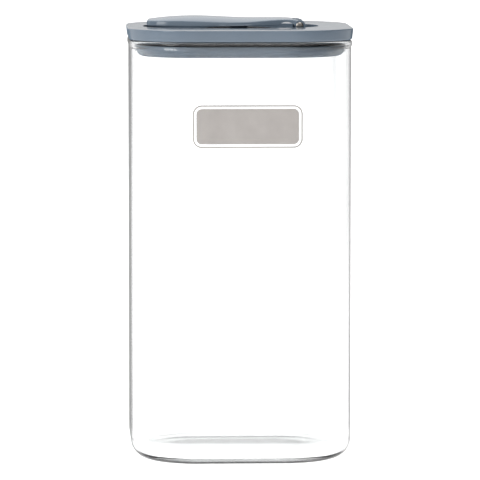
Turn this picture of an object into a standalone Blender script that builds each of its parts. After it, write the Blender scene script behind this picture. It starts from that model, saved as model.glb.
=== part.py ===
"""A square glass storage jar with a press-in lid, for Blender 4.5.

The jar stands on the XY plane and is centred on the Z axis. The lid rests on the jar's rim. A lever on the lid
turns on a steel pin, which runs along Y near the lid's +X side, and its free end points to -X. Closed, the lever
presses a silicone stopper on the vent in the middle of the lid. Lifted, it lets air in, so that the lid pulls out.

Run it with: blender --background --python part.py
"""

import math

import bmesh
import bpy
from mathutils import Matrix, Vector

MM = 0.001

# Jar
JAR_HALF = 55 * MM
JAR_CORNER = 34 * MM
JAR_HEIGHT = 209.2 * MM
WALL = 2.2 * MM
BASE_THICKNESS = 3.6 * MM
BASE_ROUND = 10 * MM
PUNT_HALF = 36 * MM
PUNT_DEPTH = 1.2 * MM
LIP_PROUD = 0.5 * MM
LIP_HEIGHT = 4 * MM
LIP_ROUND = 0.9 * MM

# Gap between pieces that touch on the real object
GAP = 0.3 * MM

# Lid cover
COVER_LOW = JAR_HEIGHT + GAP
COVER_HEIGHT = 5.7 * MM
COVER_TOP = COVER_LOW + COVER_HEIGHT
COVER_TOP_HALF = 56.1 * MM
COVER_LOW_HALF = 55.6 * MM
COVER_TOP_ROUND = 0.6 * MM
COVER_LOW_ROUND = 0.9 * MM
RECESS_CENTRE_X = -4 * MM
RECESS_HALF_X = 44 * MM
RECESS_HALF_Y = 25 * MM
RECESS_CORNER = 23.5 * MM
RECESS_DEPTH = 3.9 * MM
RECESS_ROUND = 2 * MM
RECESS_FLOOR = COVER_TOP - RECESS_DEPTH
CORE_HALF_X = 26 * MM
CORE_HALF_Y = 6 * MM
CORE_CENTRE_Y = 38.5 * MM
CORE_ROUND = 3 * MM
CORE_DEPTH = 3.2 * MM

# Plug, the lid's lower half
PLUG_HALF = JAR_HALF - WALL - 0.9 * MM
PLUG_LOW = 201.5 * MM
PLUG_FLANGE_TOP = 207.1 * MM
PLUG_ROUND = 2.6 * MM
PLUG_FLOOR = 2.2 * MM
PLUG_WALL = 2 * MM
NECK_HALF = 47 * MM
NECK_TOP = COVER_LOW - GAP
POST_RADIUS = 3.4 * MM
POST_X = 33 * MM
POST_Y = 38 * MM
POST_TOP = COVER_LOW + 2.7 * MM
SOCKET_RADIUS = POST_RADIUS + GAP
SOCKET_DEPTH = 3.2 * MM

# Rim seal
SEAL_LOW = PLUG_FLANGE_TOP + GAP
SEAL_TOP = COVER_LOW - GAP
SEAL_BODY_HALF = 50.4 * MM
SEAL_FIN_HALF = JAR_HALF - WALL - GAP
SEAL_FIN_THICKNESS = 0.55 * MM
SEAL_FIN_EDGE = 0.15 * MM

# Vent
VENT_RADIUS = 3 * MM
COLLAR_RADIUS = 6.5 * MM
COLLAR_HEIGHT = 1.3 * MM
COLLAR_TOP = RECESS_FLOOR + COLLAR_HEIGHT
TUBE_RADIUS = 6 * MM
WASHER_THICKNESS = 1 * MM
WASHER_LOW = COVER_LOW - GAP - WASHER_THICKNESS
WASHER_BORE = 3.4 * MM

# Hinge
PIN_X = 30 * MM
PIN_Z = COVER_TOP + 0.3 * MM
HINGE = Vector((PIN_X, 0, PIN_Z))
PIN_RADIUS = 1.3 * MM
PIN_BORE = 1.55 * MM
PIN_HEAD_RADIUS = 1.9 * MM
PIN_HEAD_THICKNESS = 0.6 * MM
LUG_RADIUS = 2.4 * MM
LUG_HALF_Y = 7.5 * MM

# Lever
LEVER_LOW = COVER_TOP + 0.5 * MM
LEVER_TOP = COVER_TOP + 5.2 * MM
LEVER_TIP_X = -46 * MM
NECK_HALF_Y = 12 * MM
BARREL_RADIUS = 2.9 * MM
SLOT_HALF_Y = LUG_HALF_Y + 0.4 * MM
SLOT_ROOT_X = PIN_X - 3.2 * MM
CROWN_PEAK_X = -23 * MM
CROWN_TIP_DROP = 1.75 * MM
CROWN_STEP = 1 * MM
CROWN_STEP_LENGTH = 30 * MM
CROWN_END_X = 20 * MM
CROWN_END_DROP = 1 * MM
CROWN_END_LENGTH = 12 * MM
CROWN_ARCH = Vector((42, 20)) * MM
ARCH_X = 23.4 * MM
ARCH_Z = RECESS_FLOOR + 0.6 * MM
ARCH_RADIUS = 5.6 * MM
SHELL_SCALE = 0.86
SHELL_CEILING = LEVER_LOW + 1.2 * MM
SHELL_END_X = 15 * MM
RIB_HALF = 0.7 * MM
RIB_STATIONS = (-34 * MM, -22 * MM, -10 * MM, 9 * MM)

# Stopper, on a boss under the lever
BOSS_RADIUS = 4.5 * MM
STOPPER_DISC_RADIUS = 17.5 * MM
STOPPER_DISC_LOW = COLLAR_TOP + GAP
STOPPER_DISC_THICKNESS = 1.1 * MM
STOPPER_NUB_RADIUS = 2.2 * MM
STOPPER_NUB_LOW = COLLAR_TOP - 1 * MM
STOPPER_STEM_RADIUS = 1.6 * MM
STOPPER_STEM_TOP = LEVER_LOW + 1.3 * MM
BOSS_LOW = STOPPER_DISC_LOW + STOPPER_DISC_THICKNESS + GAP
BOSS_HOLE_RADIUS = STOPPER_STEM_RADIUS + GAP

# Mesh steps
CORNER_STEPS = 10
BASE_STEPS = 7
ROUND_STEPS = 3
CIRCLE_STEPS = 24
SAME_LEVEL = 1e-6

# Colour, roughness, metallic and transmission of each material
MATERIALS = {
    "glass": ((0.93, 0.96, 0.96, 1), 0.03, 0.0, 1.0),
    "slate_plastic": ((0.17, 0.215, 0.27, 1), 0.3, 0.0, 0.0),
    "grey_silicone": ((0.12, 0.13, 0.14, 1), 0.55, 0.0, 0.0),
    "steel": ((0.62, 0.60, 0.57, 1), 0.28, 1.0, 0.0),
}


def clear_scene():
    for obj in list(bpy.data.objects):
        bpy.data.objects.remove(obj)


def make_collection(name):
    collection = bpy.data.collections.new(name)
    bpy.context.scene.collection.children.link(collection)
    return collection


def make_material(name):
    colour, roughness, metallic, transmission = MATERIALS[name]
    material = bpy.data.materials.new(name)
    material.use_nodes = True
    shader = material.node_tree.nodes["Principled BSDF"]
    shader.inputs["Base Color"].default_value = colour
    shader.inputs["Roughness"].default_value = roughness
    shader.inputs["Metallic"].default_value = metallic
    shader.inputs["Transmission Weight"].default_value = transmission
    return material


def put(name, bm, collection):
    """Turns a bmesh into an object in the collection. Cutters are kept out of renders."""
    mesh = bpy.data.meshes.new(name)
    bm.to_mesh(mesh)
    bm.free()
    obj = bpy.data.objects.new(name, mesh)
    collection.objects.link(obj)
    if collection is CUTTERS:
        obj.hide_render = True
        obj.display_type = "WIRE"
    return obj


def finish_part(obj, material, smooth_degrees=35):
    obj.data.materials.append(material)
    obj.data.shade_smooth()
    obj.data.set_sharp_from_angle(angle=math.radians(smooth_degrees))
    return obj


def move_origin(obj, place):
    """Puts the object's origin at the place and leaves its shape where it is."""
    obj.data.transform(Matrix.Translation(-place))
    obj.location = place
    return obj


def block(
    name, collection, half, corner, low, high, low_round=0, high_round=0, high_half=None, centre=(0, 0),
    steps=ROUND_STEPS,
):
    """An upright block with rounded corners: half is its half width, or (half x, half y)."""
    half_x, half_y = half if isinstance(half, tuple) else (half, half)
    spread = (high_half or half_x) / half_x
    bm = bmesh.new()
    bmesh.ops.create_cube(bm, size=2)
    for vertex in bm.verts:
        is_high = vertex.co.z > 0
        grow = spread if is_high else 1
        vertex.co = Vector((vertex.co.x * half_x * grow, vertex.co.y * half_y * grow, high if is_high else low))
    if corner:
        upright = [e for e in bm.edges if abs(e.verts[0].co.z - e.verts[1].co.z) > SAME_LEVEL]
        bmesh.ops.bevel(bm, geom=upright, offset=corner, segments=CORNER_STEPS, profile=0.5, affect="EDGES")
    for level, radius in ((low, low_round), (high, high_round)):
        if radius:
            rim = [e for e in bm.edges if all(abs(v.co.z - level) < SAME_LEVEL for v in e.verts)]
            bmesh.ops.bevel(bm, geom=rim, offset=radius, segments=steps, profile=0.5, affect="EDGES")
    bmesh.ops.translate(bm, verts=bm.verts, vec=(centre[0], centre[1], 0))
    return put(name, bm, collection)


def cylinder(name, collection, radius, low, high, centre=(0, 0), steps=CIRCLE_STEPS, high_radius=None):
    """An upright cylinder, or a cone if high_radius is given."""
    bm = bmesh.new()
    bmesh.ops.create_cone(
        bm, cap_ends=True, segments=steps, radius1=radius, radius2=high_radius or radius, depth=high - low,
        matrix=Matrix.Translation((centre[0], centre[1], (low + high) / 2)),
    )
    return put(name, bm, collection)


def cross_cylinder(name, collection, radius, half_length, x, z, centre_y=0, steps=CIRCLE_STEPS):
    """A cylinder that lies along Y, centred on (x, centre_y, z)."""
    bm = bmesh.new()
    lie_down = Matrix.Rotation(math.pi / 2, 4, "X")
    bmesh.ops.create_cone(
        bm, cap_ends=True, segments=steps, radius1=radius, radius2=radius, depth=2 * half_length,
        matrix=Matrix.Translation((x, centre_y, z)) @ lie_down,
    )
    return put(name, bm, collection)


def combine(obj, operation, *others):
    """Adds one Boolean modifier for each of the others."""
    for other in others:
        modifier = obj.modifiers.new(f"{operation.lower()} {other.name}", "BOOLEAN")
        modifier.operation = operation
        modifier.object = other
        modifier.solver = "EXACT"
    return obj


def make_jar():
    """A blown glass jar with a shallow punt under its base and a fire-polished lip."""
    inner_half = JAR_HALF - WALL
    inner_corner = JAR_CORNER - WALL
    jar = block(
        "glass_jar", PARTS, JAR_HALF, JAR_CORNER, 0, JAR_HEIGHT - LIP_HEIGHT / 2, low_round=BASE_ROUND,
        steps=BASE_STEPS,
    )
    lip = block(
        "lip", CUTTERS, JAR_HALF + LIP_PROUD, JAR_CORNER + LIP_PROUD, JAR_HEIGHT - LIP_HEIGHT, JAR_HEIGHT,
        low_round=LIP_ROUND, high_round=LIP_ROUND,
    )
    hollow = block(
        "jar_hollow", CUTTERS, inner_half, inner_corner, BASE_THICKNESS, JAR_HEIGHT + WALL,
        low_round=BASE_ROUND - WALL, steps=BASE_STEPS,
    )
    punt = block("jar_punt", CUTTERS, PUNT_HALF, PUNT_HALF / 2, -WALL, PUNT_DEPTH, high_round=PUNT_DEPTH)
    combine(jar, "UNION", lip)
    combine(jar, "DIFFERENCE", hollow, punt)
    return finish_part(jar, GLASS)


def make_cover():
    """The lid's top: a slab with a recess for the lever, a hinge lug, a vent collar and sockets for the plug."""
    cover = block(
        "lid_cover", PARTS, COVER_LOW_HALF, JAR_CORNER, COVER_LOW, COVER_TOP,
        low_round=COVER_LOW_ROUND, high_round=COVER_TOP_ROUND, high_half=COVER_TOP_HALF,
    )
    recess = block(
        "recess", CUTTERS, (RECESS_HALF_X, RECESS_HALF_Y), RECESS_CORNER, RECESS_FLOOR, COVER_TOP + WALL,
        low_round=RECESS_ROUND, centre=(RECESS_CENTRE_X, 0),
    )
    combine(cover, "DIFFERENCE", recess)
    foot = RECESS_FLOOR - GAP
    lug_post = block("lug_post", CUTTERS, (LUG_RADIUS, LUG_HALF_Y), 0, foot, PIN_Z, centre=(PIN_X, 0))
    lug_eye = cross_cylinder("lug_eye", CUTTERS, LUG_RADIUS, LUG_HALF_Y, PIN_X, PIN_Z)
    collar = cylinder("collar", CUTTERS, COLLAR_RADIUS, foot, COLLAR_TOP)
    combine(cover, "UNION", lug_post, lug_eye, collar)
    pin_bore = cross_cylinder("lug_bore", CUTTERS, PIN_BORE, LUG_HALF_Y + WALL, PIN_X, PIN_Z)
    vent = cylinder("cover_vent", CUTTERS, VENT_RADIUS, COVER_LOW - WALL, COVER_TOP)
    combine(cover, "DIFFERENCE", pin_bore, vent)
    for side in (-1, 1):
        core = block(
            f"core_{side}", CUTTERS, (CORE_HALF_X, CORE_HALF_Y), CORE_ROUND, COVER_LOW - WALL,
            COVER_LOW + CORE_DEPTH, centre=(0, side * CORE_CENTRE_Y),
        )
        combine(cover, "DIFFERENCE", core)
    for index, (x, y) in enumerate(post_places()):
        socket = cylinder(
            f"socket_{index}", CUTTERS, SOCKET_RADIUS, COVER_LOW - WALL, COVER_LOW + SOCKET_DEPTH, centre=(x, y)
        )
        combine(cover, "DIFFERENCE", socket)
    return finish_part(cover, SLATE)


def post_places():
    return [(side_x * POST_X, side_y * POST_Y) for side_x in (-1, 1) for side_y in (-1, 1)]


def make_plug():
    """The lid's lower half: a round-edged tray with a neck for the seal, a vent tube and four push-fit posts."""
    corner = JAR_CORNER - (JAR_HALF - PLUG_HALF)
    neck_corner = corner - (PLUG_HALF - NECK_HALF)
    plug = block("lid_plug", PARTS, PLUG_HALF, corner, PLUG_LOW, PLUG_FLANGE_TOP, low_round=PLUG_ROUND)
    neck = block("neck", CUTTERS, NECK_HALF, neck_corner, PLUG_LOW + PLUG_FLOOR, NECK_TOP)
    hollow = block(
        "plug_hollow", CUTTERS, NECK_HALF - PLUG_WALL, neck_corner - PLUG_WALL, PLUG_LOW + PLUG_FLOOR,
        NECK_TOP + WALL, low_round=PLUG_WALL,
    )
    tube = cylinder("tube", CUTTERS, TUBE_RADIUS, PLUG_LOW + PLUG_FLOOR / 2, WASHER_LOW - GAP)
    vent = cylinder("plug_vent", CUTTERS, VENT_RADIUS, PLUG_LOW - WALL, NECK_TOP)
    combine(plug, "UNION", neck)
    combine(plug, "DIFFERENCE", hollow)
    combine(plug, "UNION", tube)
    combine(plug, "DIFFERENCE", vent)
    for index, place in enumerate(post_places()):
        post = cylinder(f"post_{index}", CUTTERS, POST_RADIUS, PLUG_LOW + PLUG_FLOOR / 2, POST_TOP, centre=place)
        combine(plug, "UNION", post)
    return finish_part(plug, SLATE)


def make_seal():
    """The silicone ring round the plug's neck, with two fins that wipe the glass."""
    def corner(half):
        return JAR_CORNER - (JAR_HALF - half)

    inner_half = NECK_HALF + GAP
    seal = block("rim_seal", PARTS, SEAL_BODY_HALF, corner(SEAL_BODY_HALF), SEAL_LOW, SEAL_TOP)
    bore = block("seal_bore", CUTTERS, inner_half, corner(inner_half), SEAL_LOW - WALL, SEAL_TOP + WALL)
    for index, low in enumerate((SEAL_LOW + SEAL_FIN_EDGE, SEAL_TOP - SEAL_FIN_EDGE - SEAL_FIN_THICKNESS)):
        fin = block(
            f"fin_{index}", CUTTERS, SEAL_FIN_HALF, corner(SEAL_FIN_HALF), low, low + SEAL_FIN_THICKNESS
        )
        combine(seal, "UNION", fin)
    combine(seal, "DIFFERENCE", bore)
    return finish_part(seal, SILICONE)


def make_vent_washer():
    """A flat silicone ring between the plug's vent tube and the cover."""
    washer = cylinder("vent_washer", PARTS, TUBE_RADIUS, WASHER_LOW, WASHER_LOW + WASHER_THICKNESS)
    bore = cylinder("washer_bore", CUTTERS, WASHER_BORE, WASHER_LOW - WALL, COVER_TOP)
    combine(washer, "DIFFERENCE", bore)
    return finish_part(washer, SILICONE)


def make_pin():
    """The steel hinge pin, with a flat head at each side of the lever's fork."""
    head_y = NECK_HALF_Y + GAP / 2 + PIN_HEAD_THICKNESS / 2
    pin = cross_cylinder("hinge_pin", PARTS, PIN_RADIUS, head_y, PIN_X, PIN_Z)
    for side in (-1, 1):
        head = cross_cylinder(
            f"pin_head_{side}", CUTTERS, PIN_HEAD_RADIUS, PIN_HEAD_THICKNESS / 2, PIN_X, PIN_Z,
            centre_y=side * head_y,
        )
        combine(pin, "UNION", head)
    return finish_part(pin, STEEL)


def leaf_prism(name, collection, low, high, scale=1):
    """The lever's leaf outline, extruded upright. Scale shrinks it towards the middle of the leaf."""
    curve = bpy.data.curves.new(name, "CURVE")
    curve.dimensions = "2D"
    curve.fill_mode = "BOTH"
    curve.resolution_u = 6
    curve.extrude = (high - low) / 2
    stations = [
        # x, half width, handle length along x, slope of the outline
        (LEVER_TIP_X, 11 * MM, 5 * MM, 0.9),
        (-14 * MM, 20 * MM, 16 * MM, 0),
        (22 * MM, NECK_HALF_Y, 7 * MM, -0.25),
        (PIN_X + BARREL_RADIUS, NECK_HALF_Y, 2 * MM, 0),
    ]
    middle_x = (stations[0][0] + stations[-1][0]) / 2
    spline = curve.splines.new("BEZIER")
    spline.use_cyclic_u = True
    spline.bezier_points.add(2 * len(stations) - 1)
    path = [(s, 1) for s in stations] + [(s, -1) for s in reversed(stations)]
    for point, ((x, half, handle, slope), side) in zip(spline.bezier_points, path):
        place = Vector((middle_x + (x - middle_x) * scale, side * half * scale, 0))
        along = Vector((handle, side * handle * slope, 0)) * scale
        is_tip = x == LEVER_TIP_X
        is_end = x == stations[-1][0]
        forward, back = place + along, place - along
        if side < 0:
            forward, back = back, forward
        point.co = place
        point.handle_right = place if is_end and side > 0 or is_tip and side < 0 else forward
        point.handle_left = place if is_tip and side > 0 or is_end and side < 0 else back
    outline = bpy.data.objects.new(name + "_outline", curve)
    bpy.context.scene.collection.objects.link(outline)
    outline.location.z = (low + high) / 2
    bpy.context.view_layer.update()
    bm = bmesh.new()
    mesh = bpy.data.meshes.new_from_object(outline.evaluated_get(bpy.context.evaluated_depsgraph_get()))
    bm.from_mesh(mesh)
    bmesh.ops.transform(bm, matrix=outline.matrix_world, verts=bm.verts)
    bmesh.ops.remove_doubles(bm, verts=bm.verts, dist=1e-5)
    bmesh.ops.recalc_face_normals(bm, faces=bm.faces)
    bpy.data.objects.remove(outline)
    return put(name, bm, collection)


def crown_height(x, y):
    """The height of the lever's top: it peaks near the tip, steps down to the neck and arches across."""
    height = LEVER_TOP
    if x < CROWN_PEAK_X:
        height -= CROWN_TIP_DROP * ((CROWN_PEAK_X - x) / (CROWN_PEAK_X - LEVER_TIP_X)) ** 2
    else:
        along = min((x - CROWN_PEAK_X) / CROWN_STEP_LENGTH, 1)
        height -= CROWN_STEP * (1 - math.cos(math.pi * along)) / 2
    height -= CROWN_END_DROP * (max(x - CROWN_END_X, 0) / CROWN_END_LENGTH) ** 2
    half, rise = CROWN_ARCH
    return height - rise * (1 - math.sqrt(1 - (y / half) ** 2))


def make_crown():
    """A block whose upper face is the lever's top."""
    reach_x = (PIN_X + BARREL_RADIUS - LEVER_TIP_X) / 2 + WALL
    middle_x = (PIN_X + BARREL_RADIUS + LEVER_TIP_X) / 2
    reach_y = 21 * MM
    bm = bmesh.new()
    bmesh.ops.create_grid(bm, x_segments=40, y_segments=16, size=1)
    bmesh.ops.scale(bm, verts=bm.verts, vec=(reach_x, reach_y, 1))
    bmesh.ops.translate(bm, verts=bm.verts, vec=(middle_x, 0, LEVER_LOW - 4 * WALL))
    upper = bmesh.ops.extrude_face_region(bm, geom=bm.faces[:])["geom"]
    for vertex in (v for v in upper if isinstance(v, bmesh.types.BMVert)):
        vertex.co.z = crown_height(vertex.co.x, vertex.co.y)
    bmesh.ops.recalc_face_normals(bm, faces=bm.faces)
    return put("crown", bm, CUTTERS)


def make_lever():
    """The lever: a crowned leaf, hollow and ribbed below, with a fork that turns on the pin and a stopper boss."""
    lever = move_origin(leaf_prism("lever", PARTS, LEVER_LOW, LEVER_TOP + WALL), HINGE)
    combine(lever, "INTERSECT", make_crown())

    shell = leaf_prism("lever_shell", CUTTERS, LEVER_LOW - WALL, SHELL_CEILING, SHELL_SCALE)
    keep = block(
        "shell_end", CUTTERS, (PIN_X, NECK_HALF_Y * 2), 0, LEVER_LOW - 2 * WALL, LEVER_TOP,
        centre=(SHELL_END_X + PIN_X, 0),
    )
    combine(shell, "DIFFERENCE", keep)
    combine(lever, "DIFFERENCE", shell)
    rib_top = SHELL_CEILING + GAP
    spine_half_x = (SHELL_END_X - LEVER_TIP_X) / 2 - WALL
    spine = block(
        "spine", CUTTERS, (spine_half_x, RIB_HALF), 0, LEVER_LOW + GAP, rib_top,
        centre=((SHELL_END_X + LEVER_TIP_X) / 2, 0),
    )
    combine(lever, "UNION", spine)
    for index, x in enumerate(RIB_STATIONS):
        reach = 13 * MM if index == 0 else 16 * MM
        rib = block(f"rib_{index}", CUTTERS, (RIB_HALF, reach), 0, LEVER_LOW + GAP, rib_top, centre=(x, 0))
        combine(lever, "UNION", rib)

    boss = cylinder("boss", CUTTERS, BOSS_RADIUS, BOSS_LOW, rib_top)
    boss_hole = cylinder("boss_hole", CUTTERS, BOSS_HOLE_RADIUS, BOSS_LOW - WALL, STOPPER_STEM_TOP + GAP)
    combine(lever, "UNION", boss)
    barrel = cross_cylinder("barrel", CUTTERS, BARREL_RADIUS, NECK_HALF_Y, PIN_X, PIN_Z)
    combine(lever, "UNION", barrel)
    arch = cross_cylinder("arch", CUTTERS, ARCH_RADIUS, 2 * NECK_HALF_Y, ARCH_X, ARCH_Z, steps=32)
    slot = block(
        "slot", CUTTERS, (WALL + BARREL_RADIUS, SLOT_HALF_Y), 0, RECESS_FLOOR, LEVER_TOP + WALL,
        centre=(SLOT_ROOT_X + WALL + BARREL_RADIUS, 0),
    )
    pin_bore = cross_cylinder("fork_bore", CUTTERS, PIN_BORE, 2 * NECK_HALF_Y, PIN_X, PIN_Z)
    combine(lever, "DIFFERENCE", boss_hole, arch, slot, pin_bore)
    return finish_part(lever, SLATE)


def make_stopper():
    """The silicone stopper: a disc that seals on the vent collar, a nub that centres it and a stem in the boss."""
    disc_top = STOPPER_DISC_LOW + STOPPER_DISC_THICKNESS
    stopper = cylinder("vent_stopper", PARTS, STOPPER_DISC_RADIUS, STOPPER_DISC_LOW, disc_top)
    move_origin(stopper, HINGE)
    nub = cylinder(
        "nub", CUTTERS, STOPPER_NUB_RADIUS * 0.8, STOPPER_NUB_LOW, disc_top, high_radius=STOPPER_NUB_RADIUS
    )
    stem = cylinder("stem", CUTTERS, STOPPER_STEM_RADIUS, STOPPER_DISC_LOW, STOPPER_STEM_TOP)
    combine(stopper, "UNION", nub, stem)
    return finish_part(stopper, SILICONE)


clear_scene()
PARTS = make_collection("glass_storage_container")
CUTTERS = make_collection("cutters")
GLASS, SLATE, SILICONE, STEEL = (make_material(name) for name in MATERIALS)
make_jar()
make_cover()
make_plug()
make_seal()
make_vent_washer()
make_pin()
make_lever()
make_stopper()
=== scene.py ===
"""The looks of a square glass storage jar with a press-in vent-lever lid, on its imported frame."""

import math

import bmesh
import bpy
from mathutils import Matrix, Vector


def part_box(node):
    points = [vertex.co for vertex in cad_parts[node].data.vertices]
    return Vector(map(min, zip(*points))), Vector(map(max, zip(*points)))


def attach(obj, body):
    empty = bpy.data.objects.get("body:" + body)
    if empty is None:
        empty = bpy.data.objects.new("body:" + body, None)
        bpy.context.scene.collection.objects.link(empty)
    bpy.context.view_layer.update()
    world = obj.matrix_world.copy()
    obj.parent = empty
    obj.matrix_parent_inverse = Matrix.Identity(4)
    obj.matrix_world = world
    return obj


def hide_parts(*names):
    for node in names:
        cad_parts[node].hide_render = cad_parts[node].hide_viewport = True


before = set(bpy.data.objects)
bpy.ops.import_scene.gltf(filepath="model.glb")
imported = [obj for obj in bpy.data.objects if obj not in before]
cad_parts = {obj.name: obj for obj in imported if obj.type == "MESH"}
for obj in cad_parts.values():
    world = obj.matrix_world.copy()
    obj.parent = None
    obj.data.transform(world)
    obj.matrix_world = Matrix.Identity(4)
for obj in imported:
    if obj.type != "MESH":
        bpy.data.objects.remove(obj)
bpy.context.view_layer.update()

MM = 0.001
GAP = 0.3 * MM

# Outer corners of the pieces, read from the frame
JAR_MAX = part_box("glass_jar")[1]
COVER_MIN, COVER_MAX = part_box("lid_cover")
PLUG_MIN, PLUG_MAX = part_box("lid_plug")
SEAL_MIN, SEAL_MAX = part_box("rim_seal")
LEVER_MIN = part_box("lever")[0]
PIN_MIN, PIN_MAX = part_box("hinge_pin")

# Hinge and vent
PIN_X = (PIN_MIN.x + PIN_MAX.x) / 2
PIN_Z = (PIN_MIN.z + PIN_MAX.z) / 2
PIN_RADIUS = 1.3 * MM
PIN_HEAD_RADIUS = 1.9 * MM
PIN_BORE = 1.55 * MM
VENT_RADIUS = 3 * MM

# Jar. The wall levels, in millimetres, crowd near the rounded parts so that the flat walls shade as flat.
LIP_PROUD = 0.5 * MM
JAR_HALF = JAR_MAX.x - LIP_PROUD
JAR_CORNER = 34 * MM
JAR_TOP = JAR_MAX.z
WALL = 2.2 * MM
FLOOR = 3.6 * MM
BASE_ROUND = 10 * MM
PUNT_FLAT = 22 * MM
PUNT_SLOPE = 18 * MM
PUNT_DEPTH = 1.2 * MM
OUTER_LEVELS = (10.2, 10.6, 12, 60, 110, 160, 200, 204.6, 205)
INNER_LEVELS = (207.7, 207.4, 206, 200, 160, 110, 60, 13, 11.9, 11.6)

# Lid cover
COVER_LOW = COVER_MIN.z
COVER_TOP = COVER_LOW + 5.7 * MM
COVER_TOP_HALF = COVER_MAX.x + 0.05 * MM
COVER_LOW_HALF = COVER_TOP_HALF - 0.5 * MM
RECESS_CENTRE_X = -4 * MM
RECESS_HALF_X = 44 * MM
RECESS_HALF_Y = 25 * MM
RECESS_CORNER = 23.5 * MM
RECESS_ROUND = 2 * MM
RECESS_DISH_WIDTH = 1 * MM
RECESS_DISH_DROP = 0.1 * MM
RECESS_FLOOR = COVER_TOP - 3.9 * MM
LUG_RADIUS = 2.4 * MM
LUG_HALF_Y = 7.5 * MM
COLLAR_RADIUS = 6.5 * MM
COLLAR_TOP = RECESS_FLOOR + 1.3 * MM

# Lid plug and rim seal
PLUG_ROUND = 3.8 * MM
NECK_HALF = 47 * MM
SEAL_INNER_HALF = NECK_HALF + GAP
SEAL_BODY_HALF = 50.4 * MM

# Lever
LEVER_LOW = COVER_TOP + 0.5 * MM
LEVER_TOP = COVER_TOP + 5.2 * MM
LEVER_TIP_X = LEVER_MIN.x
NECK_HALF_Y = 12 * MM
BARREL_RADIUS = 2.9 * MM
CROWN_PEAK_X = -23 * MM
CROWN_TIP_DROP = 1.75 * MM
CROWN_STEP = 1 * MM
CROWN_STEP_LENGTH = 30 * MM
CROWN_END_X = 20 * MM
CROWN_END_DROP = 1 * MM
CROWN_END_LENGTH = 12 * MM
CROWN_ARCH = Vector((42, 20)) * MM
LEAF_EDGE = 0.6 * MM
LEAF_FOOT = 0.35 * MM
LEAF_DRAFT = 0.5 * MM
LEAF_TIP_HALF_Y = 11 * MM
LEAF_TIP_ROUND = 2.6 * MM
LEAF_END_ROUND = 1.8 * MM
SLOT_ROOT_X = PIN_X - 3.2 * MM
SLOT_HALF_X = 5.3 * MM
SHELL_SCALE = 0.86
SHELL_CEILING = LEVER_LOW + 1.2 * MM
SHELL_END_X = 15 * MM
RIB_LOW = LEVER_LOW + 0.3 * MM
RIB_TOP = SHELL_CEILING + 0.3 * MM
RIB_HALF = 0.7 * MM
RIB_PLACES = ((-34 * MM, 13 * MM), (-22 * MM, 16 * MM), (-10 * MM, 16 * MM), (9 * MM, 16 * MM))
BOSS_RADIUS = 4.5 * MM
BOSS_BORE = 1.9 * MM
BOSS_LOW = COLLAR_TOP + 1.7 * MM
ARCH_X = 23.4 * MM
ARCH_Z = RECESS_FLOOR + 0.6 * MM
ARCH_RADIUS = 5.6 * MM

# Vent stopper. Painted shade: its disc is broad and dark so that it fills the shade under the lever.
STOPPER_SHADE_DISC_RADIUS = 17.5 * MM
STOPPER_DISC_LOW = COLLAR_TOP + GAP
STOPPER_DISC_TOP = STOPPER_DISC_LOW + 1.1 * MM
STOPPER_STEM_RADIUS = 1.6 * MM

# Plain printed panel on the front of the glass
PANEL_CENTRE = (2 * MM, 168.2 * MM)
PANEL_HALF = (27 * MM, 10.5 * MM)
PANEL_CORNER = 4.4 * MM
PANEL_LINE = 0.7 * MM
PANEL_FIELD_INSET = 1.8 * MM
PANEL_THICKNESS = 0.05 * MM

CUTTERS = []


# ---------------------------------------------------------------- shapes


def put(name, bm):
    """Makes a scene object from a bmesh and frees it."""
    mesh = bpy.data.meshes.new(name)
    bm.to_mesh(mesh)
    bm.free()
    obj = bpy.data.objects.new(name, mesh)
    bpy.context.scene.collection.objects.link(obj)
    return obj


def outline_ring(half_x, half_y, corner, z, centre=(0, 0), steps=24):
    """A rounded rectangle at height z, anticlockwise from its +X side."""
    corner = max(corner, 0.05 * MM)
    ring = []
    for quarter, (sx, sy) in enumerate(((1, 1), (-1, 1), (-1, -1), (1, -1))):
        cx = centre[0] + sx * (half_x - corner)
        cy = centre[1] + sy * (half_y - corner)
        for i in range(steps + 1):
            a = math.pi / 2 * (quarter + i / steps)
            ring.append(Vector((cx + corner * math.cos(a), cy + corner * math.sin(a), z)))
    return ring


def loft(name, rings, closed=False):
    """Quads between rings of equal length. An open loft is capped at both ends."""
    bm = bmesh.new()
    rows = [[bm.verts.new(p) for p in ring] for ring in rings]
    pairs = list(zip(rows, rows[1:]))
    if closed:
        pairs.append((rows[-1], rows[0]))
    for low, high in pairs:
        for i in range(len(low)):
            j = (i + 1) % len(low)
            bm.faces.new((low[i], low[j], high[j], high[i]))
    if not closed:
        bm.faces.new(list(reversed(rows[0])))
        bm.faces.new(rows[-1])
    bmesh.ops.recalc_face_normals(bm, faces=bm.faces)
    return put(name, bm)


def arc(centre, radius, start, end, steps):
    """Points (half width, z) on an arc, in degrees, where 0 points outwards and 90 points up."""
    points = []
    for i in range(steps + 1):
        a = math.radians(start + (end - start) * i / steps)
        points.append((centre[0] + radius * math.cos(a), centre[1] + radius * math.sin(a)))
    return points


def square_sweep(name, profile, half, corner, closed=False, steps=24):
    """Carries a profile of (half width, z) round a square whose corner radius shrinks with it."""
    rings = [outline_ring(h, h, corner - (half - h), z, steps=steps) for h, z in profile]
    return loft(name, rings, closed)


def slab(
    name, half_x, half_y, corner, low, high,
    low_round=0, high_round=0, high_half=None, centre=(0, 0), steps=24,
):
    """An upright rounded block with rounded lower and upper edges, and sides that may flare."""
    spread = (high_half or half_x) - half_x
    profile = []
    if low_round:
        profile += arc((-low_round, low + low_round), low_round, -90, 0, 8)
    else:
        profile.append((0, low))
    if high_round:
        profile += [(h + spread, z) for h, z in arc((-high_round, high - high_round), high_round, 0, 90, 8)]
    else:
        profile.append((spread, high))
    rings = [outline_ring(half_x + d, half_y + d, corner + d, z, centre, steps) for d, z in profile]
    return loft(name, rings)


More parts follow.
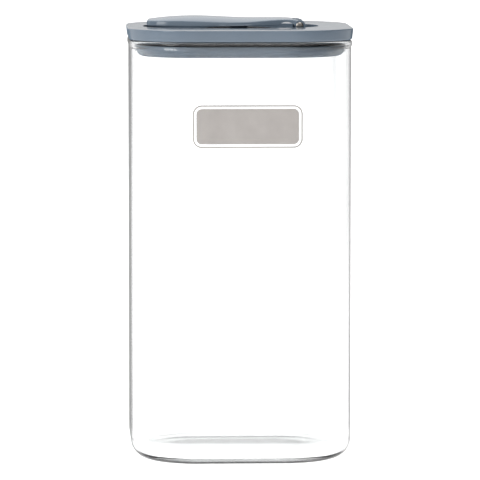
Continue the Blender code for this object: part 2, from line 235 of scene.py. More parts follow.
def turned(name, profile, centre=(0, 0, 0), along_y=False, steps=64):
    """A solid of revolution from (radius, height) points that start and end on the axis."""
    bm = bmesh.new()
    rows = []
    for r, h in profile:
        if r < 1e-7:
            rows.append([bm.verts.new((0, 0, h))])
            continue
        row = []
        for i in range(steps):
            a = 2 * math.pi * i / steps
            row.append(bm.verts.new((r * math.cos(a), r * math.sin(a), h)))
        rows.append(row)
    for low, high in zip(rows, rows[1:]):
        for i in range(steps):
            j = (i + 1) % steps
            corners = [low[i % len(low)], low[j % len(low)], high[j % len(high)], high[i % len(high)]]
            bm.faces.new(list(dict.fromkeys(corners)))
    if along_y:
        bmesh.ops.rotate(bm, verts=bm.verts, matrix=Matrix.Rotation(math.pi / 2, 3, "X"))
    bmesh.ops.translate(bm, verts=bm.verts, vec=centre)
    bmesh.ops.recalc_face_normals(bm, faces=bm.faces)
    return put(name, bm)


def rod(name, radius, half_length, x, z):
    """A round bar along Y."""
    profile = [(0, -half_length), (radius, -half_length), (radius, half_length), (0, half_length)]
    return turned(name, profile, (x, 0, z), along_y=True)


def post(name, radius, low, high):
    """A round bar on the vent's upright axis."""
    return turned(name, [(0, low), (radius, low), (radius, high), (0, high)])


def combine(obj, operation, *others):
    """Adds a Boolean with each of the others, which are deleted when the piece is baked."""
    for other in others:
        modifier = obj.modifiers.new(other.name, "BOOLEAN")
        modifier.operation = operation
        modifier.object = other
        modifier.solver = "EXACT"
        CUTTERS.append(other)
    return obj


def bake(obj, edge=0, edge_angle=38, smooth=35, edge_steps=3):
    """Applies the Booleans, and rounds the sharp edges that they leave."""
    if edge:
        modifier = obj.modifiers.new("edges", "BEVEL")
        modifier.width = edge
        modifier.segments = edge_steps
        modifier.limit_method = "ANGLE"
        modifier.angle_limit = math.radians(edge_angle)
        modifier.use_clamp_overlap = True
    bpy.context.view_layer.update()
    evaluated = obj.evaluated_get(bpy.context.evaluated_depsgraph_get())
    mesh = bpy.data.meshes.new_from_object(evaluated)
    obj.modifiers.clear()
    obj.data = mesh
    mesh.shade_smooth()
    mesh.set_sharp_from_angle(angle=math.radians(smooth))
    for cutter in CUTTERS:
        bpy.data.objects.remove(cutter)
    CUTTERS.clear()
    return obj


def finished(obj, material, body, slot, *nodes):
    """Gives a piece its material, its body and the CAD nodes that it stands for."""
    obj.data.materials.clear()
    obj.data.materials.append(material)
    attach(obj, body)
    if nodes:
        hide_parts(*nodes)
    return obj


# ---------------------------------------------------------------- materials


class Nodes:
    """A short hand for a material's node tree, in object coordinates, so that sizes are in metres."""

    def __init__(self, name):
        self.material = bpy.data.materials.new(name)
        self.material.use_nodes = True
        self.tree = self.material.node_tree
        self.shader = self.tree.nodes["Principled BSDF"]
        self.place = self.tree.nodes.new("ShaderNodeTexCoord").outputs["Object"]

    def add(self, kind, **inputs):
        node = self.tree.nodes.new(kind)
        for name, value in inputs.items():
            self.feed(node, name.replace("_", " "), value)
        return node

    def feed(self, node, name, value):
        socket = node.inputs[name]
        if isinstance(value, bpy.types.NodeSocket):
            self.tree.links.new(value, socket)
        else:
            socket.default_value = value

    def stretched(self, x, y, z):
        node = self.add("ShaderNodeVectorMath", Vector=self.place)
        node.operation = "MULTIPLY"
        node.inputs[1].default_value = (x, y, z)
        return node.outputs[0]

    def noise(self, scale, detail=3.0, rough=0.5, where=None):
        node = self.add("ShaderNodeTexNoise", Vector=where or self.place, Scale=scale, Detail=detail)
        node.inputs["Roughness"].default_value = rough
        return node.outputs["Fac"]

    def ramp(self, fac, low, high, at=(0.3, 0.7)):
        """A number from low to high, or a colour from low to high."""
        node = self.tree.nodes.new("ShaderNodeMapRange") if isinstance(low, float) else None
        if node:
            self.feed(node, "Value", fac)
            self.feed(node, "From Min", at[0])
            self.feed(node, "From Max", at[1])
            self.feed(node, "To Min", low)
            self.feed(node, "To Max", high)
            return node.outputs["Result"]
        node = self.tree.nodes.new("ShaderNodeValToRGB")
        self.feed(node, "Fac", fac)
        for element, position, colour in zip(node.color_ramp.elements, at, (low, high)):
            element.position = position
            element.color = (*colour, 1)
        return node.outputs["Color"]

    def mix(self, kind, factor, a, b):
        """A colour mixed from a to b, or multiplied by b, by a linked factor."""
        node = self.tree.nodes.new("ShaderNodeMix")
        node.data_type = "RGBA"
        node.blend_type = kind
        self.tree.links.new(factor, node.inputs["Factor"])
        self.tree.links.new(a, node.inputs["A"])
        self.feed(node, "B", b)
        return node.outputs["Result"]

    def painted_edge_shade(self, base, *stops):
        """The base colour with painted shade: darkened on the bead and where thick edges turn away, but less
        on the base.
        """
        # Painted shade: grey by facing angle, darkest where the walls turn away from view
        facing = self.add("ShaderNodeLayerWeight", Blend=0.5).outputs["Facing"]
        ramp = self.tree.nodes.new("ShaderNodeValToRGB")
        self.feed(ramp, "Fac", facing)
        elements = ramp.color_ramp.elements
        while len(elements) < len(stops):
            elements.new(0.5)
        for element, (position, grey) in zip(elements, stops):
            element.position = position
            element.color = (grey, grey, grey * 1.01, 1)
        height = self.add("ShaderNodeSeparateXYZ", Vector=self.place).outputs["Z"]
        above_base = self.ramp(height, 0.25, 1.0, (0.008, 0.016))
        walls = self.mix("MULTIPLY", above_base, base, ramp.outputs["Color"])
        # Painted shade: a grey band across the bead
        painted_bead_shade = self.ramp(height, 0.0, 0.6, (0.2068, 0.2082))
        return self.mix("MIX", painted_bead_shade, walls, (0.22, 0.24, 0.24, 1))

    def total(self, *values):
        result = values[0]
        for value in values[1:]:
            node = self.tree.nodes.new("ShaderNodeMath")
            self.tree.links.new(result, node.inputs[0])
            self.tree.links.new(value, node.inputs[1])
            result = node.outputs[0]
        return result

    def bump(self, height, distance, strength=1.0):
        node = self.add("ShaderNodeBump", Height=height, Distance=distance, Strength=strength)
        self.tree.links.new(node.outputs["Normal"], self.shader.inputs["Normal"])

    def set(self, **inputs):
        for name, value in inputs.items():
            self.feed(self.shader, name.replace("_", " "), value)
        return self.material


def slate_plastic(name, light=1.0):
    """Satin moulded plastic with a fine eroded grain, faint flow clouds, handling marks and scratches.

    Its reflection fades on upright sides that are seen at a grazing angle.
    """
    n = Nodes(name)
    # Painted light: a light above 1 makes a paler copy of the plastic
    dark = tuple(c * light for c in (0.160, 0.204, 0.256))
    pale = tuple(c * light for c in (0.176, 0.224, 0.280))
    n.shader.inputs["IOR"].default_value = 1.5
    clouds = n.noise(38.0, 4.0)
    grain = n.noise(3600.0, 2.0)
    scratches = n.noise(60.0, 6.0, 0.75, n.stretched(1.0, 22.0, 4.0))
    marks = n.noise(120.0, 5.0, 0.7)
    relief = n.total(n.ramp(grain, 0.0, 1.0, (0.2, 0.8)), n.ramp(scratches, 0.0, 0.35, (0.62, 0.8)))
    n.bump(relief, 0.012 * MM, 0.5)
    normal = n.tree.nodes.new("ShaderNodeTexCoord").outputs["Normal"]
    upright = n.add("ShaderNodeSeparateXYZ", Vector=normal)
    facing = n.add("ShaderNodeLayerWeight", Blend=0.5).outputs["Facing"]
    side = n.tree.nodes.new("ShaderNodeMath")
    side.operation = "MULTIPLY"
    n.tree.links.new(n.ramp(upright.outputs["Z"], 1.0, 0.0, (0.2, 0.6)), side.inputs[0])
    n.tree.links.new(n.ramp(facing, 0.0, 1.0, (0.45, 0.8)), side.inputs[1])
    n.feed(n.shader, "Specular IOR Level", n.ramp(side.outputs[0], 0.5, 0.0, (0.0, 0.9)))
    return n.set(Base_Color=n.ramp(clouds, dark, pale), Roughness=n.ramp(marks, 0.09, 0.15))


def grey_silicone(name):
    """Soft moulded silicone with a dusty bloom and faint parting waves. Its near-black grey is partly its own
    colour and partly painted shade for the seal's gap and under the lever.
    """
    n = Nodes(name)
    dust = n.noise(420.0, 5.0, 0.65)
    skin = n.noise(1500.0, 3.0)
    n.bump(skin, 0.02 * MM, 0.4)
    n.shader.inputs["IOR"].default_value = 1.43
    # Partly painted shade: the near-black grey also stands in for the shade in the seal's gap
    colour = n.ramp(dust, (0.040, 0.039, 0.041), (0.060, 0.058, 0.061))
    return n.set(Base_Color=colour, Roughness=n.ramp(dust, 0.42, 0.6))


def drawn_steel(name):
    """Stainless wire with lathe and drawing marks along Y and a few stains."""
    n = Nodes(name)
    rings = n.noise(900.0, 4.0, 0.6, n.stretched(1.0, 0.06, 1.0))
    stains = n.noise(300.0, 4.0)
    n.shader.inputs["Metallic"].default_value = 1.0
    n.bump(rings, 0.01 * MM, 0.5)
    colour = n.ramp(stains, (0.35, 0.325, 0.30), (0.47, 0.445, 0.41))
    return n.set(Base_Color=colour, Roughness=n.ramp(rings, 0.16, 0.34))


def clear_glass(name, edges=()):
    """Borosilicate glass: clear, with the slow waves that blowing and fire polishing leave.

    It refracts less towards the very bottom, so that the base's round edge stays pale.
    """
    n = Nodes(name)
    height = n.add("ShaderNodeSeparateXYZ", Vector=n.place).outputs["Z"]
    n.feed(n.shader, "IOR", n.ramp(height, 1.2, 1.474, (0.003, 0.012)))
    n.shader.inputs["Transmission Weight"].default_value = 1.0
    waves = n.noise(26.0, 2.0, 0.4, n.stretched(1.0, 1.0, 0.35))
    ripple = n.noise(140.0, 2.0, 0.4, n.stretched(1.0, 1.0, 0.2))
    smears = n.noise(70.0, 5.0, 0.6)
    n.bump(n.total(waves, n.ramp(ripple, 0.0, 0.06, (0.2, 0.8))), 0.10 * MM, 0.6)
    colour = n.ramp(smears, (0.976, 0.986, 0.983), (0.988, 0.994, 0.992))
    polish = n.ramp(smears, 0.0, 0.012, (0.45, 0.8))
    if edges:
        # Painted shade: the edge stops darken the base colour at grazing angles and on the bead
        colour = n.painted_edge_shade(colour, *edges)
        facing = n.add("ShaderNodeLayerWeight", Blend=0.5).outputs["Facing"]
        polish = n.total(polish, n.ramp(facing, 0.0, 0.4, (0.78, 0.9)))
    return n.set(Base_Color=colour, Roughness=polish)


def print_ink(name):
    """Warm grey screen-printed enamel, slightly uneven in its cover."""
    n = Nodes(name)
    cover = n.noise(900.0, 4.0, 0.6)
    mottle = n.noise(110.0, 3.0)
    n.bump(cover, 0.01 * MM, 0.5)
    colour = n.ramp(mottle, (0.455, 0.425, 0.405), (0.505, 0.475, 0.452))
    return n.set(Base_Color=colour, Roughness=n.ramp(cover, 0.42, 0.6))


# ---------------------------------------------------------------- pieces


def make_jar(glass, inner_glass):
    """One closed body of glass: hollow base ring, round base, fire-polished bead, and a round inner floor."""
    half = JAR_HALF
    inner = half - WALL
    lip = half + LIP_PROUD
    top_radius = (lip - inner) / 2
    base_centre = half - BASE_ROUND
    profile = []
    for i in range(13):
        t = i / 12
        profile.append((PUNT_FLAT + PUNT_SLOPE * t, PUNT_DEPTH * (0.5 + 0.5 * math.cos(math.pi * t))))
    profile += arc((base_centre, BASE_ROUND), BASE_ROUND, -90, 0, 20)
    profile += [(half, z * MM) for z in OUTER_LEVELS]
    bead_low = JAR_TOP - 4 * MM
    for i in range(9):
        t = i / 8
        profile.append((half + LIP_PROUD * (0.5 - 0.5 * math.cos(math.pi * t)), bead_low + 1.5 * MM * t))
    profile += arc((inner + top_radius, JAR_TOP - top_radius), top_radius, 0, 180, 18)
    profile += [(inner, z * MM) for z in INNER_LEVELS]
    inner_round = BASE_ROUND - WALL
    profile += arc((inner - inner_round, FLOOR + inner_round), inner_round, 0, -90, 16)
    profile.append((PUNT_FLAT, FLOOR))
    jar = square_sweep("jar_glass", profile, half, JAR_CORNER, steps=32)
    finished(bake(jar, smooth=60), glass, "jar", "glass", "glass_jar")
    jar.data.materials.append(inner_glass)
    for face in jar.data.polygons:
        x, y, z = face.center
        if z > FLOOR - 0.1 * MM and abs(face.normal.z) < 0.98 and face.normal.x * x + face.normal.y * y < 0:
            face.material_index = 1
    return jar


def make_panel(ink):
    """A plain printed write-on panel with a thin frame line round it, on the front face of the glass."""
    bm = bmesh.new()
    outer = JAR_HALF + 0.03 * MM

    def plate(rings):
        fronts = []
        for y in (-outer, -outer - PANEL_THICKNESS):
            rows = []
            for half_x, half_z, corner in rings:
                flat = outline_ring(half_x, half_z, corner, 0, PANEL_CENTRE, steps=12)
                rows.append([bm.verts.new((p.x, y, p.y)) for p in flat])
            fronts.append(rows)
        back, front = fronts
        count = len(back[0])
        for i in range(count):
            j = (i + 1) % count
            for rows in (back, front):
                if len(rows) == 2:
                    bm.faces.new((rows[0][i], rows[0][j], rows[1][j], rows[1][i]))
            for k in range(len(back)):
                bm.faces.new((back[k][i], back[k][j], front[k][j], front[k][i]))
        if len(back) == 1:
            bm.faces.new(back[0])
            bm.faces.new(front[0])

    half_x, half_z = PANEL_HALF
    inset = PANEL_FIELD_INSET
    plate([(half_x - inset, half_z - inset, PANEL_CORNER - inset)])
    line = PANEL_LINE
    plate([(half_x, half_z, PANEL_CORNER), (half_x - line, half_z - line, PANEL_CORNER - line)])
    bmesh.ops.recalc_face_normals(bm, faces=bm.faces)
    return finished(bake(put("print_panel", bm)), ink, "jar", "glass")


def recess_cutter():
    """The lever's recess: a rounded floor, upright walls and a top edge that dishes gently outwards."""
    profile = arc((-RECESS_ROUND, RECESS_FLOOR + RECESS_ROUND), RECESS_ROUND, -90, 0, 8)
    for i in range(9):
        t = i / 8
        profile.append((RECESS_DISH_WIDTH * t, COVER_TOP - RECESS_DISH_DROP * (1 - t) ** 1.6 + 0.02 * MM * t))
    profile.append((RECESS_DISH_WIDTH, COVER_TOP + 3 * MM))
    rings = []
    for d, z in profile:
        half_x, half_y, corner = RECESS_HALF_X + d, RECESS_HALF_Y + d, RECESS_CORNER + d
        rings.append(outline_ring(half_x, half_y, corner, z, (RECESS_CENTRE_X, 0), 32))
    return loft("recess", rings)


def make_cover(plastic):
    """The cover with the lever's recess, the hinge lug, the vent's collar and the vent."""
    cover = slab(
        "lid_cover_shell", COVER_LOW_HALF, COVER_LOW_HALF, JAR_CORNER, COVER_LOW, COVER_TOP,
        low_round=0.9 * MM, high_round=0.6 * MM, high_half=COVER_TOP_HALF, steps=32,
    )
    combine(cover, "DIFFERENCE", recess_cutter())
    foot = RECESS_FLOOR - 0.4 * MM
    lug_post = slab("lug_post", LUG_RADIUS, LUG_HALF_Y, 0.4 * MM, foot, PIN_Z, centre=(PIN_X, 0), steps=4)
    lug_eye = rod("lug_eye", LUG_RADIUS, LUG_HALF_Y, PIN_X, PIN_Z)
    collar = post("collar", COLLAR_RADIUS, foot, COLLAR_TOP)
    combine(cover, "UNION", lug_post, lug_eye, collar)
    combine(cover, "DIFFERENCE", rod("lug_bore", PIN_BORE, LUG_HALF_Y + 2 * MM, PIN_X, PIN_Z))
    combine(cover, "DIFFERENCE", post("vent", VENT_RADIUS, COVER_LOW - 2 * MM, COVER_TOP))
    return finished(bake(cover, edge=0.35 * MM), plastic, "lid", "slate_plastic", "lid_cover")


def make_plug(plastic):
    """The plug below the seal, with the neck that the seal sits round and the vent through both."""
    low, high = PLUG_MIN.z, SEAL_MIN.z - GAP
    half = PLUG_MAX.x
    corner = JAR_CORNER - (JAR_HALF - half)
    plug = slab(
        "lid_plug_shell", half, half, corner, low, high,
        low_round=PLUG_ROUND, high_round=0.4 * MM, steps=32,
    )
    neck_corner = corner - (half - NECK_HALF)
    neck = slab("neck", NECK_HALF, NECK_HALF, neck_corner, high - 2 * MM, COVER_LOW - GAP)
    combine(plug, "UNION", neck)
    combine(plug, "DIFFERENCE", post("vent", VENT_RADIUS, low - 2 * MM, COVER_LOW))
    return finished(bake(plug, edge=0.3 * MM), plastic, "lid", "slate_plastic", "lid_plug")


def make_seal(silicone):
    """The rim seal's ring section, with two fins that curl up as they meet the glass."""
    low, high = SEAL_MIN.z, SEAL_MAX.z
    inner = SEAL_INNER_HALF
    body = SEAL_BODY_HALF
    tip = SEAL_MAX.x
    profile = [(inner, low + 0.3 * MM), (inner + 0.3 * MM, low), (body, low)]
    for base in (low + 0.12 * MM, high - 0.72 * MM):
        profile += [(body + 0.2 * MM, base), (tip - 0.5 * MM, base + 0.12 * MM)]
        profile += arc((tip - 0.2 * MM, base + 0.34 * MM), 0.2 * MM, -70, 90, 6)
        profile += [(tip - 0.9 * MM, base + 0.46 * MM), (body + 0.15 * MM, base + 0.42 * MM)]
        profile.append((body, base + 0.52 * MM))
    profile += [(body - 0.3 * MM, high), (inner + 0.3 * MM, high), (inner, high - 0.3 * MM)]
    seal = square_sweep("rim_seal_ring", profile, JAR_HALF, JAR_CORNER, closed=True, steps=32)
    return finished(bake(seal, smooth=50), silicone, "lid", "grey_silicone", "rim_seal")


def make_pin(steel):
    """The hinge pin with low domed heads."""
    reach = PIN_MAX.y
    head_low = reach - 0.6 * MM
    side = [(PIN_RADIUS, head_low), (PIN_HEAD_RADIUS - 0.1 * MM, head_low)]
    side += [(PIN_HEAD_RADIUS, head_low + 0.1 * MM), (PIN_HEAD_RADIUS, head_low + 0.22 * MM)]
    side.append((1.72 * MM, head_low + 0.4 * MM))
    side += [(1.2 * MM, reach - 0.07 * MM), (0.6 * MM, reach - 0.015 * MM), (0, reach)]
    profile = [(r, -h) for r, h in reversed(side)] + side
    pin = turned("hinge_pin_steel", profile, (PIN_X, 0, PIN_Z), along_y=True)
    return finished(bake(pin, smooth=40), steel, "lid", "steel", "hinge_pin")


def make_stopper(silicone):
    """The vent stopper: a broad disc with a sealing ring, a round nub below and a barbed stem above. The
    disc's breadth and darkness are painted shade under the lever.
    """
    low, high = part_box("vent_stopper")
    disc, disc_top = STOPPER_DISC_LOW, STOPPER_DISC_TOP
    groove = disc + 0.25 * MM
    rim, stem = STOPPER_SHADE_DISC_RADIUS, STOPPER_STEM_RADIUS
    profile = [(0, low.z), (1.2 * MM, low.z), (1.7 * MM, low.z + 0.3 * MM), (2.1 * MM, disc)]
    profile += [(5 * MM, disc), (5.4 * MM, groove), (14 * MM, groove), (15 * MM, disc)]
    profile += [(rim - 0.3 * MM, disc), (rim, disc + 0.3 * MM)]
    profile += [(rim - 0.1 * MM, disc + 0.8 * MM), (rim - 0.5 * MM, disc_top), (stem, disc_top)]
    profile += [(stem, high.z - 0.6 * MM), (stem - 0.3 * MM, high.z - 0.1 * MM), (0, high.z)]
    stopper = turned("vent_stopper_body", profile)
    return finished(bake(stopper, smooth=40), silicone, "lever", "grey_silicone", "vent_stopper")


def crown_height(x, y):
    """The height of the lever's top: it peaks near the tip, steps down to the neck and arches across."""
    height = LEVER_TOP
    if x < CROWN_PEAK_X:
        height -= CROWN_TIP_DROP * ((CROWN_PEAK_X - x) / (CROWN_PEAK_X - LEVER_TIP_X)) ** 2
    else:
        along = min((x - CROWN_PEAK_X) / CROWN_STEP_LENGTH, 1)
        height -= CROWN_STEP * (1 - math.cos(math.pi * along)) / 2
    height -= CROWN_END_DROP * (max(x - CROWN_END_X, 0) / CROWN_END_LENGTH) ** 2
    half, rise = CROWN_ARCH
    return height - rise * (1 - math.sqrt(1 - (y / half) ** 2))


def bezier(a, b, c, d, steps):
    """Points along a cubic curve, without its last one."""
    points = []
    for i in range(steps):
        t = i / steps
        s = 1 - t
        points.append(a * s ** 3 + b * 3 * s * s * t + c * 3 * s * t * t + d * t ** 3)
    return points


def leaf_side():
    """One side of the lever's outline in plan, from its tip to its hinge end, with square corners."""
    end_x = PIN_X + BARREL_RADIUS
    stations = (
        (LEVER_TIP_X, LEAF_TIP_HALF_Y, 5 * MM, 0.9),
        (-14 * MM, 20 * MM, 16 * MM, 0),
        (22 * MM, NECK_HALF_Y, 7 * MM, -0.25),
        (end_x, NECK_HALF_Y, 2 * MM, 0),
    )
    side = []
    for (x0, h0, r0, s0), (x1, h1, r1, s1) in zip(stations, stations[1:]):
        a, d = Vector((x0, h0)), Vector((x1, h1))
        side += bezier(a, a + Vector((r0, r0 * s0)), d - Vector((r1, r1 * s1)), d, 60)
    side.append(Vector((end_x, NECK_HALF_Y)))
    return side


def spread_evenly(loop, count):
    """Points at even distances along a closed loop."""
    lengths = [0]
    for p, q in zip(loop, loop[1:] + loop[:1]):
        lengths.append(lengths[-1] + (q - p).length)
    points = []
    k = 0
    for i in range(count):
        target = lengths[-1] * i / count
        while lengths[k + 1] < target:
            k += 1
        t = (target - lengths[k]) / (lengths[k + 1] - lengths[k])
        points.append(loop[k].lerp(loop[(k + 1) % len(loop)], t))
    return points


def leaf_outline(count=220):
    """The lever's outline in plan, anticlockwise, as evenly spaced points with rounded corners."""
    side = leaf_side()
    past_corner = 14
    tip_curve = bezier(
        Vector((LEVER_TIP_X, LEAF_TIP_HALF_Y - LEAF_TIP_ROUND)),
        Vector((LEVER_TIP_X, LEAF_TIP_HALF_Y - LEAF_TIP_ROUND / 3)),
        side[past_corner] - (side[past_corner] - side[0]) * 0.7, side[past_corner], 12,
    )
    last = side[-1]
    end_curve = bezier(
        last - Vector((LEAF_END_ROUND, 0)), last - Vector((LEAF_END_ROUND / 3, 0)),
        last - Vector((0, LEAF_END_ROUND / 3)), last - Vector((0, LEAF_END_ROUND)), 8,
    )
    middle = [p for p in side[past_corner:] if p.x < last.x - LEAF_END_ROUND]
    upper = tip_curve + middle + end_curve
    loop = upper + [Vector((p.x, -p.y)) for p in reversed(upper)]
    loop.reverse()
    return spread_evenly(loop, count)


def leaf_ring(loop, inset, height):
    """The outline moved inwards by the inset, at the height that a function of x and y gives."""
    points = []
    for i, p in enumerate(loop):
        along = (loop[(i + 1) % len(loop)] - loop[i - 1]).normalized()
        q = p - Vector((along.y, -along.x)) * inset
        points.append(Vector((q.x, q.y, height(q.x, q.y))))
    return points


def leaf_body():
    """The lever's leaf, flat below, with a crowned top and rounded edges."""
    loop = leaf_outline()
    rings = []
    for i in range(5):
        a = math.radians(90 * i / 4)
        level = LEVER_LOW + LEAF_FOOT * (1 - math.cos(a))
        rings.append(leaf_ring(loop, LEAF_FOOT * (1 - math.sin(a)), lambda x, y, level=level: level))
    for i in range(9):
        a = math.radians(90 * i / 8)
        rise = LEAF_EDGE * (1 - math.sin(a))
        inset = LEAF_DRAFT + LEAF_EDGE * (1 - math.cos(a))
        rings.append(leaf_ring(loop, inset, lambda x, y, rise=rise: crown_height(x, y) - rise))
    rim = rings[-1]
    spine_low = LEVER_TIP_X + 9.5 * MM
    spine_high = PIN_X + BARREL_RADIUS - 11 * MM
    for k in range(1, 14):
        keep = 1 - k / 14
        points = []
        for p in rim:
            spine_x = min(max(p.x, spine_low), spine_high)
            x = spine_x + (p.x - spine_x) * keep
            y = p.y * keep
            points.append(Vector((x, y, crown_height(x, y))))
        rings.append(points)
    body = loft("lever_body", rings)
    bm = bmesh.new()
    bm.from_mesh(body.data)
    cap = max((f for f in bm.faces if len(f.verts) > 50), key=lambda f: f.calc_center_median().z)
    bmesh.ops.triangulate(bm, faces=[cap])
    bm.to_mesh(body.data)
    bm.free()
    return body


def leaf_hollow():
    """The space under the leaf: a smaller copy of its outline that stops short of the hinge."""
    middle = (LEVER_TIP_X + PIN_X + BARREL_RADIUS) / 2
    loop = [Vector((middle + (p.x - middle) * SHELL_SCALE, p.y * SHELL_SCALE)) for p in leaf_outline()]
    levels = (LEVER_LOW - 2 * MM, SHELL_CEILING)
    hollow = loft("shell", [leaf_ring(loop, 0, lambda x, y, level=level: level) for level in levels])
    keep = slab(
        "shell_end", 30 * MM, 30 * MM, 0, LEVER_LOW - 4 * MM, LEVER_TOP,
        centre=(SHELL_END_X + 30 * MM, 0), steps=1,
    )
    return combine(hollow, "DIFFERENCE", keep)


def rib(name, half_x, half_y, x):
    return slab(name, half_x, half_y, 0.05 * MM, RIB_LOW, RIB_TOP, centre=(x, 0), steps=1)


def make_lever(plastic):
    """The lever: a hollow, ribbed leaf with a boss for the stopper and a forked barrel on the pin."""
    lever = leaf_body()
    combine(lever, "DIFFERENCE", leaf_hollow())
    spine_half = (SHELL_END_X - LEVER_TIP_X) / 2 - 2 * MM
    combine(lever, "UNION", rib("spine", spine_half, RIB_HALF, (SHELL_END_X + LEVER_TIP_X) / 2))
    for index, (x, reach) in enumerate(RIB_PLACES):
        combine(lever, "UNION", rib(f"rib_{index}", RIB_HALF, reach, x))
    combine(lever, "UNION", post("boss", BOSS_RADIUS, BOSS_LOW, RIB_TOP))
    combine(lever, "UNION", rod("barrel", BARREL_RADIUS, NECK_HALF_Y, PIN_X, PIN_Z))
    stem_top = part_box("vent_stopper")[1].z
    slot = slab(
        "slot", SLOT_HALF_X, LUG_HALF_Y + 0.4 * MM, 0.5 * MM, RECESS_FLOOR, LEVER_TOP + 2 * MM,
        centre=(SLOT_ROOT_X + SLOT_HALF_X, 0), steps=4,
    )
    combine(
        lever, "DIFFERENCE",
        post("boss_hole", BOSS_BORE, BOSS_LOW - 2 * MM, stem_top + GAP),
        rod("arch", ARCH_RADIUS, 2 * NECK_HALF_Y, ARCH_X, ARCH_Z),
        slot,
        rod("fork_bore", PIN_BORE, 2 * NECK_HALF_Y, PIN_X, PIN_Z),
    )
    return finished(bake(lever, edge=0.22 * MM, edge_steps=2), plastic, "lever", "slate_plastic", "lever")


# ---------------------------------------------------------------- studio


LIGHT_TARGET = Vector((0, 0, 0.14))


def make_floor():
    """A plain pale floor that glows more towards the back and less at the sides."""
    bm = bmesh.new()
    bmesh.ops.create_grid(bm, x_segments=8, y_segments=8, size=16)
    floor = put("studio_floor", bm)
    floor.location.z = -0.0002
    n = Nodes("studio_paper")
    fibre = n.noise(700.0, 4.0)
    n.bump(fibre, 0.02 * MM, 0.2)
    n.shader.inputs["Emission Color"].default_value = (1, 1, 1, 1)
    split = n.add("ShaderNodeSeparateXYZ", Vector=n.place)
    near = n.ramp(split.outputs["Y"], 0.02, 0.45, (-1.1, -0.2))
    far = n.ramp(split.outputs["Y"], 0.0, 0.4, (0.2, 1.6))
    left = n.ramp(split.outputs["X"], -0.35, 0.0, (-0.8, -0.25))
    right = n.ramp(split.outputs["X"], 0.0, -0.42, (0.38, 0.78))
    n.feed(n.shader, "Emission Strength", n.total(near, far, left, right))
    floor.data.materials.append(n.set(Base_Color=(0.93, 0.93, 0.93, 1), Roughness=0.8))


def make_world():
    """A room with a white back wall that dims at its foot, a darker right side and a dim front."""
    world = bpy.data.worlds.new("studio_room")
    bpy.context.scene.world = world
    world.use_nodes = True
    tree = world.node_tree
    background = tree.nodes["Background"]
    coords = tree.nodes.new("ShaderNodeTexCoord")
    split = tree.nodes.new("ShaderNodeSeparateXYZ")
    tree.links.new(coords.outputs["Generated"], split.inputs[0])

    def across(axis, *stops):
        span = tree.nodes.new("ShaderNodeMapRange")
        span.inputs["From Min"].default_value = -1.0
        tree.links.new(split.outputs[axis], span.inputs["Value"])
        ramp = tree.nodes.new("ShaderNodeValToRGB")
        ramp.color_ramp.interpolation = "EASE"
        tree.links.new(span.outputs["Result"], ramp.inputs[0])
        elements = ramp.color_ramp.elements
        while len(elements) < len(stops):
            elements.new(0.5)
        for element, (position, grey) in zip(elements, stops):
            element.position = position
            element.color = (grey, grey, grey, 1)
        return ramp.outputs["Color"]

    def times(a, b, amount=None):
        mix = tree.nodes.new("ShaderNodeMix")
        mix.data_type = "RGBA"
        mix.blend_type = "MULTIPLY"
        mix.inputs["Factor"].default_value = 1.0
        if amount:
            tree.links.new(amount, mix.inputs["Factor"])
        tree.links.new(a, mix.inputs["A"])
        tree.links.new(b, mix.inputs["B"])
        return mix.outputs["Result"]

    sides = across("X", (0.0, 0.45), (0.28, 0.95), (0.40, 1.0), (0.60, 1.0), (0.78, 0.25), (1.0, 0.1))
    depth = across("Y", (0.0, 0.5), (0.35, 0.5), (0.62, 1.0), (1.0, 1.0))
    foot = across("Z", (0.48, 1.0), (0.51, 0.6), (0.56, 0.7), (0.64, 1.0))
    middle = across("X", (0.36, 0.0), (0.44, 1.0), (0.60, 1.0), (0.68, 0.0))
    tree.links.new(times(times(sides, depth), foot, middle), background.inputs["Color"])


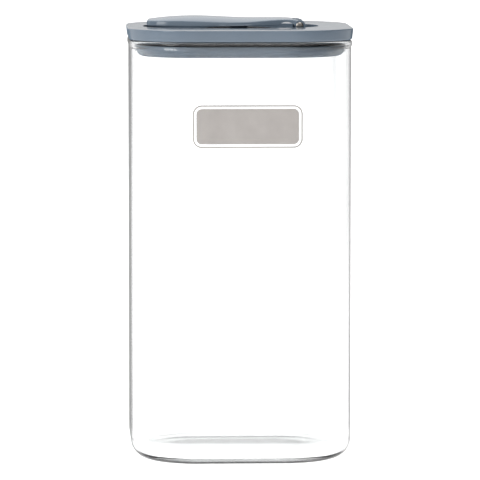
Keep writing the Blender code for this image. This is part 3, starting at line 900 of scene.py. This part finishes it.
def make_light(name, place, size, power):
    """A soft rectangular lamp aimed at the upper part of the jar."""
    light = bpy.data.lights.new(name, "AREA")
    light.shape = "RECTANGLE"
    light.size, light.size_y = size
    light.energy = power
    obj = bpy.data.objects.new(name, light)
    bpy.context.scene.collection.objects.link(obj)
    obj.location = place
    obj.rotation_euler = (LIGHT_TARGET - obj.location).to_track_quat("-Z", "Y").to_euler()


def make_camera():
    """A distant camera a little above the lid, turned slightly to the left of the front."""
    distance, rise, turn = 2.2, math.radians(5.48), math.radians(-2.64)
    target = Vector((0.0007, 0, 0.1071))
    back = Vector((math.sin(turn) * math.cos(rise), -math.cos(turn) * math.cos(rise), math.sin(rise)))
    data = bpy.data.cameras.new("camera")
    data.lens = 327.3
    data.sensor_width = 36
    camera = bpy.data.objects.new("camera", data)
    bpy.context.scene.collection.objects.link(camera)
    camera.location = target + back * distance
    camera.rotation_euler = (-back).to_track_quat("-Z", "Y").to_euler()
    bpy.context.scene.camera = camera


def main():
    view = bpy.context.scene.view_settings
    view.view_transform = "Standard"
    view.look = "None"
    # Painted shade: grey levels by facing angle for the glass's darkened edges
    edges = ((0.0, 1.0), (0.68, 1.0), (0.76, 0.4), (0.82, 0.05), (1.0, 0.03))
    glass = clear_glass("clear_glass", edges)
    inner_glass = clear_glass("clear_glass_inside")
    plastic = slate_plastic("slate_plastic_satin")
    # Painted light: the lever gets a 12% paler copy of the cover's plastic, to lift its shaded sides
    lever_plastic_painted_lighter = slate_plastic("slate_plastic_lever_painted_light", light=1.12)
    silicone = grey_silicone("grey_silicone_soft_painted_shade")
    steel = drawn_steel("drawn_steel")
    jar = make_jar(glass, inner_glass)
    jar.visible_shadow = False
    make_panel(print_ink("enamel_print"))
    make_cover(plastic)
    make_plug(plastic)
    make_seal(silicone)
    make_pin(steel)
    make_stopper(silicone)
    make_lever(lever_plastic_painted_lighter)
    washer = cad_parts["vent_washer"]
    washer.data.materials.clear()
    washer.data.materials.append(silicone)
    make_floor()
    make_world()
    make_light("key", (-1.9, -1.4, 1.2), (1.0, 1.5), 21)
    make_light("front", (0.3, -1.3, 1.9), (1.6, 1.0), 10)
    make_light("top", (0.0, 0.9, 1.9), (1.8, 1.2), 10)
    make_camera()


main()
